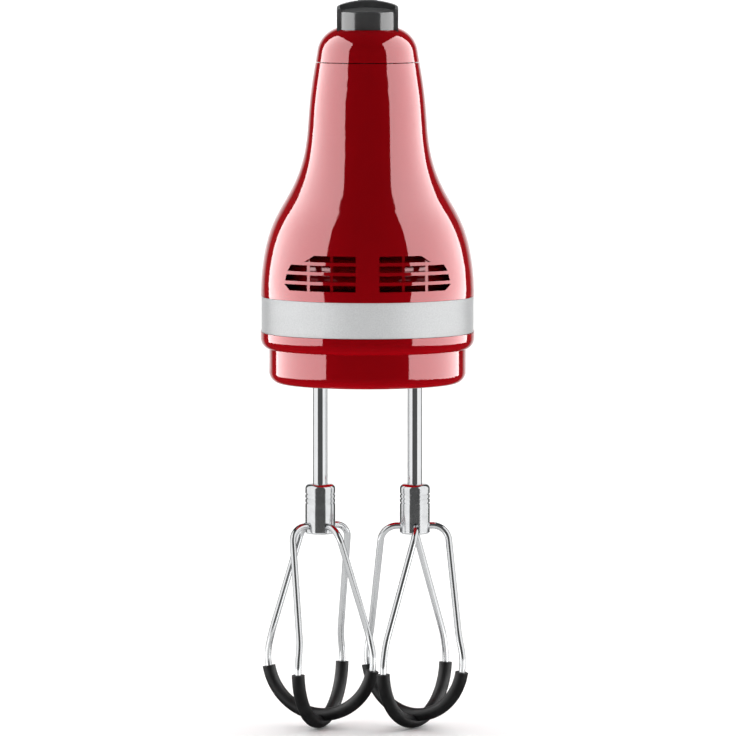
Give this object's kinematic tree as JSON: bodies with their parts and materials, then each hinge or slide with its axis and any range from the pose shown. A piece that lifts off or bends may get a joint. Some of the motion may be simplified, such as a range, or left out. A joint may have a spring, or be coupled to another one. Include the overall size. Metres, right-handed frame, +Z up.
{
  "type": "hand mixer",
  "caption": "Corded hand mixer with loop handle, eject button, speed slider and a worm drive that turns paired wire whisk beaters with silicone-covered tips.",
  "frame": {"origin": "on the surface under the tips of the beaters, in the middle of the overall width and length", "axes": "+X right, +Y from the nose to the heel, +Z up along the beater shafts"},
  "size_m": [0.0916, 0.194, 0.3135],
  "materials": {
    "red_plastic": "high gloss",
    "silver_trim": "satin",
    "grey_plastic": "glossy",
    "dark_plastic": "matte",
    "collar_plastic": "satin",
    "heel_rubber": "matte",
    "chrome_shaft": "polished",
    "wire_steel": "polished",
    "hub_steel": "satin",
    "silicone": "matte",
    "cast_metal": "as cast",
    "bronze": "sintered",
    "spindle_steel": "turned",
    "gear_nylon": "moulded",
    "motor_steel": "zinc plated",
    "ferrite": "matte",
    "laminations": "stamped",
    "copper": "enamelled",
    "carbon": "matte",
    "board_green": "solder mask",
    "component_black": "moulded",
    "spring_steel": "drawn",
    "screw_steel": "zinc plated"
  },
  "bodies": {
    "housing": {"motor_housing": "red_plastic", "handle_cover": "red_plastic", "base_cover": "red_plastic", "trim_band": "silver_trim", "heel_pad": "heel_rubber", "button_collar": "collar_plastic", "speed_plate": "collar_plastic", "gear_frame": "cast_metal", "lower_spindle_bushes": "bronze", "upper_spindle_bushes": "bronze", "worm_end_bush": "bronze", "front_motor_bush": "bronze", "rear_motor_bush": "bronze", "motor_yoke": "motor_steel", "motor_magnets": "ferrite", "motor_end_cap": "dark_plastic", "brush_holders": "component_black", "carbon_brushes": "carbon", "control_board": "board_green", "board_components": "component_black", "speed_switch": "component_black", "base_screws": "screw_steel", "frame_screws": "screw_steel", "board_screws": "screw_steel", "motor_screws": "screw_steel", "eject_spring": "spring_steel"},
    "left_drive": {"left_spindle": "spindle_steel", "left_worm_wheel": "gear_nylon"},
    "right_drive": {"right_spindle": "spindle_steel", "right_worm_wheel": "gear_nylon"},
    "rotor": {"motor_shaft": "spindle_steel", "armature_core": "laminations", "armature_windings": "copper", "commutator": "copper", "cooling_fan": "dark_plastic"},
    "left_beater": {"left_beater_shaft": "chrome_shaft", "left_beater_hub": "hub_steel", "left_lower_wire": "wire_steel", "left_upper_wire": "wire_steel", "left_beater_sleeve": "silicone"},
    "right_beater": {"right_beater_shaft": "chrome_shaft", "right_beater_hub": "hub_steel", "right_lower_wire": "wire_steel", "right_upper_wire": "wire_steel", "right_beater_sleeve": "silicone"},
    "ejector": {"eject_button": "grey_plastic", "eject_fork": "dark_plastic"},
    "speed_control": {"speed_slider": "grey_plastic"},
    "swivel": {"cord_swivel": "dark_plastic", "swivel_clip": "dark_plastic"}
  },
  "joints": [
    {"name": "left_drive_spin", "type": "hinge", "parent": "housing", "child": "left_drive", "pos_m": [-0.0203, -0.049, 0.196], "axis": [0, 0, 1], "continuous": true},
    {"name": "right_drive_spin", "type": "hinge", "parent": "housing", "child": "right_drive", "pos_m": [0.0203, -0.049, 0.196], "axis": [0, 0, 1], "continuous": true},
    {"name": "motor_spin", "type": "hinge", "parent": "housing", "child": "rotor", "pos_m": [0, 0, 0.196], "axis": [0, 1, 0], "continuous": true},
    {"name": "left_beater_slide", "type": "slide", "parent": "left_drive", "child": "left_beater", "axis": [0, 0, -1], "range_m": [0, 0.06]},
    {"name": "right_beater_slide", "type": "slide", "parent": "right_drive", "child": "right_beater", "axis": [0, 0, -1], "range_m": [0, 0.06]},
    {"name": "eject_press", "type": "slide", "parent": "housing", "child": "ejector", "axis": [0, 0, -1], "range_m": [0, 0.005], "deforming": ["eject_spring"]},
    {"name": "speed_slide", "type": "slide", "parent": "housing", "child": "speed_control", "axis": [0, -1, 0], "range_m": [0, 0.02]},
    {"name": "swivel_turn", "type": "hinge", "parent": "housing", "child": "swivel", "pos_m": [0, 0.0866, 0.258], "axis": [0, 1, 0], "range_deg": [-90, 90]}
  ],
  "couplings": [
    {"joint": "right_drive_spin", "follows": "left_drive_spin", "ratio": -1},
    {"joint": "motor_spin", "follows": "left_drive_spin", "ratio": -15},
    {"joint": "right_beater_slide", "follows": "left_beater_slide", "ratio": 1},
    {"joint": "eject_press", "follows": "left_beater_slide", "ratio": 0.083333}
  ]
}
